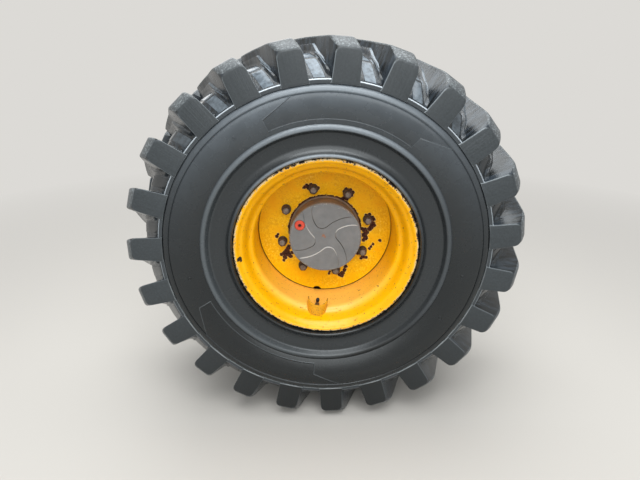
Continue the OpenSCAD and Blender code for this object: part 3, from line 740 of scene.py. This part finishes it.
def axle_paint():
    """Dark grey paint over a sand casting, dusty where it faces up, with the flange's own face turned bright: sand
    grains and turning grooves are drawn coarser than they are, so that they show"""
    made, tree, shader, place = material("painted_casting", "#4e5052", 0.55, IOR=1.5)
    x, z, r, out = coordinates(tree, place)
    sand = add(tree, "TexNoise", place, blotches(2.5), 4, 0.6)
    cloud = add(tree, "TexNoise", place, blotches(40), 5, 0.6)
    facing = add(tree, "SeparateXYZ", add(tree, "NewGeometry").outputs["Normal"]).outputs
    turned_face = add(
        tree, "Math MULTIPLY", add(tree, "MapRange", out, *metres(FLANGE_FACE_W)),
        add(tree, "MapRange", facing["Y"], 0.8, 0.95))
    groove = add(tree, "TexNoise", add(tree, "CombineXYZ", r), blotches(1.8), 2, 0.6)
    steel = layered(
        tree, "#7f8180",
        ("#a5a6a3", add(tree, "MapRange", groove, 0.35, 0.65)),
        ("#7d6a55", add(tree, "MapRange", cloud, 0.55, 0.7, 0, 0.6)))
    colour = layered(
        tree, "#46484a",
        ("#57595a", add(tree, "MapRange", cloud, 0.3, 0.7)),
        ("#8b857a", add(tree, "MapRange", facing["Z"], 0.2, 0.9), add(tree, "MapRange", cloud, 0.4, 0.65), 0.5),
        (steel, turned_face))
    skin = add(tree, "Mix", turned_face, sand, add(tree, "Math MULTIPLY", groove, 0.3))
    surface(tree, shader, colour, add(tree, "MapRange", turned_face, 0, 1, 0.55, 0.36), skin, 0.45)
    return made


def bright_steel():
    """Ground steel, bright in some patches and duller in others"""
    made, tree, shader, place = material("ground_steel", "#b8b8b4", 0.3, Metallic=1.0)
    patch = add(tree, "TexNoise", place, blotches(6), 4)
    surface(tree, shader, roughness=add(tree, "MapRange", patch, 0.3, 0.7, 0.22, 0.4))
    return made


def seal_rubber():
    """Moulded nitrile rubber, dull black with greyish patches of dust"""
    made, tree, shader, place = material("nitrile_seal_rubber", "#262627", 0.6, IOR=1.52)
    surface(tree, shader, layered(tree, "#1f1f20", ("#3a3937", add(tree, "TexNoise", place, blotches(12), 4))))
    return made


RUBBER = tyre_rubber()
GROOVE = groove_rubber()
RIM = rim_paint()
DISC = disc_paint()
WELD = weld_paint()
IRON = rusty_iron()
COVER = cover_paint()
PLUG = plug_plastic()
GUARD = guard_paint()
FASTENER = fastener_steel()
STUD = stud_steel()
BRASS = valve_brass()
CAP = cap_plastic()
AXLE = axle_paint()
STEEL = bright_steel()
SEAL = seal_rubber()


# The tyre

def mirrored(outline):
    """An outline of one side of the wheel with the other side added, from points outboard of the middle plane"""
    half = [(MIDDLE + w, r) for w, r in outline]
    return half + [(2 * MIDDLE - out, r) for out, r in reversed(half) if out > MIDDLE + 0.01]


# The tyre's side from its toe out to the tread, each (distance from the middle plane, radius, ease), and then the
# groove floor in to the middle
casing_side = eased([
    (*TOE, 0), (177.4, 248, 1), (177.4, 256.5, 3), (179, 261.2, 2), (184, 261.6, 1.5),
    (190, 262.4, 1), (196.2, 263.8, 2.4), (200, 267, 2), (198.8, 271.6, 2.2), (189.8, 279.6, 5), (185, 291, 8),
    (184.8, 300, 6), (187.8, 316, 6), (188, 327, 3), (196, 332.4, 5), (203, 336.6, 4.5), (204.8, 341.5, 4),
    (203.2, 347, 3.4), (200.2, 350.4, 1.4), (201.6, 352.4, 1.2), (206.8, 362, 8), (212.6, 374, 10),
    (218.4, 388.6, 9), (222, 403.5, 9), (221.2, 420, 5), (219.6, 427.4, 0.5), (216.4, 428.2, 0.4),
    (216.4, 429.4, 0.4), (219.8, 432, 2.2), (218.8, 437, 3), (216, 443.6, 2), (212.8, 445.8, 0.8),
    (207.6, 446.4, 0.4), (207.6, 447.8, 0.4), (211, 448.6, 0.6), (210.8, 458, 0.7), (208.8, 459.4, 0.5),
], 3) + [(w, floor_r(w)) for w in (207, 198, 189, 180, 171, 162, 153, 145, 135, 120, 100, 66, 33, 0)]
# The tyre's inside, from its middle to the toe
casing_inner = [(0, 505), (96, 502), (150, 472), (188, 432), (194, 385), (164, 316), (152, 265)]
casing_outline = mirrored(casing_side) + mirrored(casing_inner)[::-1] + [(MIDDLE + TOE[0], TOE[1])]
casing = turned("tyre_casing", casing_outline, 12 * LUGS, 24)
finished(casing, "wheel", "tyre_rubber", RUBBER, stands_for=["tyre"])


def lug_turn(w):
    """How far a lug has swept round the tyre at a distance from the middle plane, in degrees"""
    swept = tan(radians(SWEEP)) * (FOOT_W - max(w, BEND_W))
    swept += tan(radians(SWEEP_INSIDE_BEND)) * max(0, BEND_W - w)
    return swept / CROWN_R * 180 / pi


def across_lug(w, outline, turned_on=0):
    """A line across a lug at a distance from the middle plane, from (distance to its left or right, radius)"""
    turn = lug_turn(w) + turned_on
    return [at(MIDDLE + w, r, 90 + turn - across / r * 180 / pi) for across, r in outline]


def shelf_r(w):
    """Radius of the shelf on a lug's flank, which runs down towards the tyre's side"""
    return min(mix(541, 491, (w - 100) / 80), 541)


def lug_section(w, top, half, foot, shelf, ease):
    """A lug's outline across its length, from the foot of its stepped flank to that of its plain one"""
    side_face = w > SIDE_FACE_W
    base = FOOT_R + 2 if side_face else floor_r(w)
    rise = top - base
    lean = (foot - half) / rise
    under = FOOT_R - 1.2 if side_face else base - 10
    step = max(shelf_r(w), base + 5)

    def flank(r, side, extra=0.0):
        return side * (half + (top - r) * lean + extra), r

    def crown_edge(side):
        turns = [
            flank(top - ease * (1 - sin(radians(t))), side, -ease * (1 - cos(radians(t)))) for t in (0, 30, 60, 90)]
        return turns if side < 0 else turns[::-1]

    fillet = [(base + 6, 0.3), (base + 2.6, 1.4), (base + 0.8, 3.4), (under, 8)]
    if side_face:
        fillet = [(base + 6, 0), (base + 2.6, 0.4), (base + 0.8, 1), (under, 1.4)]
    skirt = 0 if side_face else 5 * min(1.0, (SIDE_FACE_W - w) / 8, max(0.0, (w - 120) / 40))
    left = [flank(r, -1, extra + shelf + skirt) for r, extra in reversed(fillet)]
    left += [flank(step - 1, -1, shelf), flank(step, -1, max(shelf - 1, 0)), flank(step + 0.8, -1, shelf * 0.12),
             flank(step + 3, -1, 0)]
    right = [flank(r, 1, extra) for r, extra in fillet]
    return across_lug(w, left + crown_edge(-1) + crown_edge(1) + right)


def lofted(name, sections):
    """A solid through sections of as many points each, in their order, made by extruding the first one on"""
    piece = begin(name, sections[0][0])
    draw(sections[0])
    bpy.ops.mesh.select_all(action="SELECT")
    bpy.ops.mesh.edge_face_add()
    for before, after in zip(sections, sections[1:]):
        step = after[0] - before[0]
        bpy.ops.mesh.extrude_region_move(TRANSFORM_OT_translate={"value": step})
        mesh = bmesh.from_edit_mesh(piece.data)
        for v in [v for v in mesh.verts if v.select]:
            nearest = min(range(len(before)), key=lambda i: (before[i] + step - v.co).length)
            v.co = after[nearest]
        bmesh.update_edit_mesh(piece.data)
    bpy.ops.mesh.select_all(action="SELECT")
    bpy.ops.mesh.normals_make_consistent(inside=False)
    return piece


def lug():
    """One lug at the top of the wheel's outboard side, from its side face to its nose"""
    # Each (distance from the middle plane, top radius, half its width at the top and at the foot, shelf on its left,
    # ease of its edges)
    stations = [
        (214.0, 531.0, 31.6, 34.8, 0, 13), (211.5, 534.6, 32.0, 35.1, 0, 13), (207.0, 539.6, 32.2, 35.4, 0, 12.5),
        (202.0, 543.8, 32.0, 35.8, 0, 12), (196.0, 548.0, 31.6, 36, 0, 11), (190.0, 551.6, 31.0, 36.4, 0, 9.5),
        (184.0, 554.6, 30.4, 36.8, 0.2, 7.5), (178.0, 557.0, 29.9, 37.0, 0.8, 5.5),
        (170.0, 558.4, 29.4, 37.2, 2.4, 3.5), (158.0, 558.9, 29.0, 37.2, 5, 2.4),
        (144.0, 559, 28.8, 37.2, 7.2, 2.2), (128.0, 559, 28.6, 37.2, 8.2, 2.2),
        (112.0, 559, 28.5, 37.2, 8, 2.2), (96.0, 559, 28.4, 37.2, 7, 2.2), (70.0, 559, 28.2, 37.0, 5, 2.2),
        (40.0, 559, 28.0, 37, 4, 2.2), (17.0, 558.8, 27.4, 36.6, 2, 2.2), (13.0, 557, 25.4, 35.6, 0.4, 3),
    ]
    piece = lofted("lug", [lug_section(*station) for station in stations])
    side = -(MIDDLE + FOOT_W) * MM
    pick(piece, "edges", lambda e: all(abs(v.co.y - side) < 1e-5 for v in e.verts))
    bpy.ops.mesh.bevel(offset=2.0 * MM, segments=3, affect="EDGES")

    def on_shelf(face):
        middle = face.calc_center_median()
        w, r = -middle.y / MM - MIDDLE, hypot(middle.x, middle.z) / MM
        return BEND_W < w < 180 and abs(r - shelf_r(w)) < 4 and face.normal.z > 0.6

    for look in (RUBBER, GROOVE):
        piece.data.materials.append(look)
    pick(piece, "faces", on_shelf)
    piece.active_material_index = 1
    bpy.ops.object.material_slot_assign()
    end(32)
    return piece


def floor_strip(outer, inner, half):
    """A polished strip on the floor of the groove left of the top lug, raised a little, with a line all round"""
    sections, steps = [], 8
    for k in range(steps + 1):
        w = mix(outer, inner, k / steps)
        base = floor_r(w)
        wide, proud = (half - 0.7, 0.3) if k in (0, steps) else (half, 1.1)
        outline = [(-wide, base - 3), (-wide, base + proud), (0.8 - wide, base + proud + 0.5),
                   (wide - 0.8, base + proud + 0.5), (wide, base + proud), (wide, base - 3)]
        sections.append(across_lug(w, outline, 180 / LUGS))
    piece = lofted("floor_strip", sections)
    end(25)
    return piece


def join(pieces, name):
    """Makes one piece of several, with a name"""
    select_only(pieces[0])
    for piece in pieces[1:]:
        piece.select_set(True)
    bpy.ops.object.join()
    joined = bpy.context.object
    joined.name = joined.data.name = name
    return joined


def round_the_tyre(piece, name, first):
    """Copies a piece at the top round the tyre, a copy a lug, the first at an angle"""
    copies = []
    for k in range(LUGS):
        select_only(piece)
        bpy.ops.object.duplicate()
        copy = bpy.context.object
        copy.data.transform(Matrix.Rotation(radians(90 - first - k * 360 / LUGS), 4, "Y"))
        copies.append(copy)
    return join(copies, name)


def to_the_inboard_side(piece):
    """Mirrors a piece in the tyre's middle plane"""
    select_only(piece)
    bpy.ops.object.mode_set(mode="EDIT")
    bpy.ops.mesh.select_all(action="SELECT")
    bpy.ops.transform.resize(value=(1, -1, 1), center_override=(0, -MIDDLE * MM, 0))
    bpy.ops.mesh.normals_make_consistent(inside=False)
    bpy.ops.object.mode_set(mode="OBJECT")


for one, outboard, inboard, looks in (
    (lug(), "outboard_lugs", "inboard_lugs", []),
    (join([floor_strip(206.5, 157, 14.6), floor_strip(151, 112, 14.6)], "strips"),
     "outboard_groove_strips", "inboard_groove_strips", [GROOVE]),
):
    made = [round_the_tyre(one, outboard, FIRST_LUG)]
    to_the_inboard_side(one)
    made.append(round_the_tyre(one, inboard, FIRST_LUG + 180 / LUGS))
    bpy.data.objects.remove(one)
    for piece in made:
        finished(piece, "wheel", "tyre_rubber", *looks)


def side_w(r):
    """How far out the sidewall stands at a radius between its ridge and its outer ring"""
    for (w0, r0), (w1, r1) in zip(casing_side, casing_side[1:]):
        if 354 < r0 <= r <= r1:
            return mix(w0, w1, (r - r0) / (r1 - r0))


# Small round marks moulded on the sidewall, each a ring round a dot, as (angle, radius)
marks = []
for angle, r in ((-169.3, 387), (-82.6, 386.5), (-31.2, 387), (126.1, 394.3), (-10.3, 387.4)):
    slope = (side_w(r + 8) - side_w(r - 8)) / 16
    facing = at(1, -slope, angle).to_track_quat("Z", "Y").to_euler()
    for large in (4.6, 0.9):
        bpy.ops.object.select_all(action="DESELECT")
        bpy.ops.mesh.primitive_torus_add(
            major_radius=large * MM, minor_radius=0.9 * MM, major_segments=20, minor_segments=8,
            location=at(MIDDLE + side_w(r) + 0.1, r, angle), rotation=facing)
        bpy.ops.object.transform_apply()
        bpy.ops.object.shade_smooth()
        marks.append(bpy.context.object)
finished(join(marks, "sidewall_marks"), "wheel", "tyre_rubber", RUBBER)


# The rim, and the eased copies of all other pieces

# The rim's section, round the outboard flange, along the well and round the inboard flange
barrel = [(MIDDLE + w, r) for w, r in eased([
    (129.8, 220.6, 0), (139.8, 237.5, 6), (177.8, 247.7, 2), (177.8, 256, 4), (181, 260.3, 3.4),
    (187, 260.3, 3.4), (190, 257, 3), (190, 251, 4), (181, 244.5, 8), (174, 236, 8), (164, 231, 8),
    (139.8, 223.6, 9), (129.8, 208.2, 12), (100, 208.2, 0), (-60, 208.2, 8), (-70.2, 223.6, 8),
    (-139.8, 223.6, 9), (-164, 231, 8), (-174, 236, 8), (-181, 244.5, 8), (-190, 251, 4), (-190, 257, 3),
    (-187, 260.3, 3.4), (-181, 260.3, 3.4), (-177.8, 256, 4), (-177.8, 247.7, 2), (-139.8, 237.5, 6),
    (-70.2, 237.5, 6), (-60, 220.6, 6), (129.8, 220.6, 0),
], 5)]
rim = turned("rim_barrel", barrel, 256, 35)
finished(rim, "wheel", "rim_yellow", RIM, stands_for=["rim"])

for name, node, edge, cuts, body, slot, look in (
    ("wheel_disc", "disc", 1.5, 2, "wheel", "disc_yellow", DISC),
    ("disc_weld_bead", "disc_weld", 2, 3, "wheel", "weld", WELD),
    ("hub_casting", "hub", 1.5, 2, "wheel", "hub_iron", IRON),
    ("hub_cover_plate", "hub_cover", 1.5, 3, "wheel", "cover_grey", COVER),
    ("hub_oil_plug", "oil_plug", 0.6, 2, "wheel", "plug_red", PLUG),
    ("stud_ends", "wheel_studs", 1.4, 3, "wheel", "fastener_steel", STUD),
    ("flange_nuts", "wheel_nuts", 0.8, 2, "wheel", "fastener_steel", FASTENER),
    ("valve_stem_nut", "valve_stem", 0.4, 2, "wheel", "valve_brass", BRASS),
    ("valve_dust_cap", "valve_cap", 0.8, 2, "wheel", "cap_black", CAP),
    ("valve_guard_plate", "valve_guard", 0.8, 2, "wheel", "rim_yellow", GUARD),
    ("spindle_journal", "spindle", 1, 2, "axle_end", "bright_steel", STEEL),
    ("hub_seal", "seal_ring", 1.5, 2, "axle_end", "seal_rubber", SEAL),
    ("brake_housing_casting", "brake_housing", 2.5, 2, "axle_end", "axle_grey", AXLE),
    ("housing_bolts", "brake_bolts", 0.8, 2, "axle_end", "fastener_steel", FASTENER),
    ("brake_bleed_screw", "bleed_screw", 0.5, 2, "axle_end", "valve_brass", BRASS),
    ("axle_arm_casting", "axle_arm", 4, 2, "axle_end", "axle_grey", AXLE),
    ("axle_end_flange", "axle_flange", 1.5, 2, "axle_end", "axle_grey", AXLE),
):
    reshape = spread_pads if node == "hub_cover" else None
    finished(eased_copy(name, node, edge, cuts, reshape), body, slot, look, stands_for=[node])


# Floor, light and camera

bpy.ops.object.select_all(action="DESELECT")
bpy.ops.mesh.primitive_plane_add(size=60, location=(0, 0, -CROWN_R * MM - 0.0005))
floor = bpy.context.object
floor.name = "floor"
bpy.ops.object.transform_apply()
BACKGROUND = "#dcdad6"  # what the camera sees behind the wheel


def seen_directly(tree):
    """1 for what the camera, a reflection or clear material sees, 0 for light that falls on something"""
    path = add(tree, "LightPath").outputs
    not_lit = add(tree, "Math MAXIMUM", path["Is Glossy Ray"], path["Is Transmission Ray"])
    return add(tree, "Math MAXIMUM", path["Is Camera Ray"], not_lit)


# Pale floor that takes the shadow near the wheel and goes over into the background further off
floor_look, tree, shader, place = material("pale_floor", "#c2c0bb", 0.95, Specular_IOR_Level=0.1)
away = add(tree, "MapRange", add(tree, "VectorMath LENGTH", place), 1.0, 3.4)
share = add(tree, "Math MULTIPLY", away, seen_directly(tree))
both = add(tree, "MixShader", share, shader, add(tree, "Emission", BACKGROUND, 1.0))
fill(tree, tree.nodes["Material Output"].inputs["Surface"], both)
floor.data.materials.append(floor_look)

world = bpy.data.worlds.new("studio")
bpy.context.scene.world = world
world.use_nodes = True
tree = world.node_tree
sky = tree.nodes["Background"]
fill(tree, sky.inputs["Color"], "#ffffff")
fill(tree, sky.inputs["Strength"], 0.4)
both = add(tree, "MixShader", seen_directly(tree), sky, add(tree, "Background", BACKGROUND, 1.0))
fill(tree, tree.nodes["World Output"].inputs["Surface"], both)


def lamp(name, place, aim, wide, high, power):
    """A soft lamp of a width and a height that looks at a place"""
    bpy.ops.object.light_add(type="AREA", location=place)
    made = bpy.context.object
    made.name = name
    made.data.shape = "RECTANGLE"
    made.data.size, made.data.size_y = wide, high
    made.data.energy = power
    made.rotation_euler = (Vector(aim) - Vector(place)).to_track_quat("-Z", "Y").to_euler()


lamp("top_lamp", (-0.3, -1.0, 2.5), (0, -0.35, 0), 1.7, 1.7, 28)
lamp("sky_lamp", (0.1, -2.1, 2.3), (0, -0.4, 0.2), 2.4, 1.0, 46)
lamp("front_lamp", (0.2, -4.6, 2.1), (0, -0.4, 0), 5, 2.4, 95)
lamp("back_lamp", (0.1, 0.35, 2.9), (0, -0.45, 0.45), 3.6, 1.5, 62)
lamp("rear_lamp", (-0.8, 4.2, 2.2), (0, -0.2, 0), 4, 2.2, 55)

# The camera as fitted to the wheel's circles in the photo: nearly straight on, and looking 21 degrees down
bpy.ops.object.camera_add(location=(-0.0306, -1.7457, 0.5166), rotation=(radians(90 - 21.05), 0, radians(-0.62)))
camera = bpy.context.object
camera.data.sensor_width = 36
camera.data.lens = 27.3
camera.data.clip_end = 100
bpy.context.scene.camera = camera
bpy.context.scene.view_settings.view_transform = "Standard"
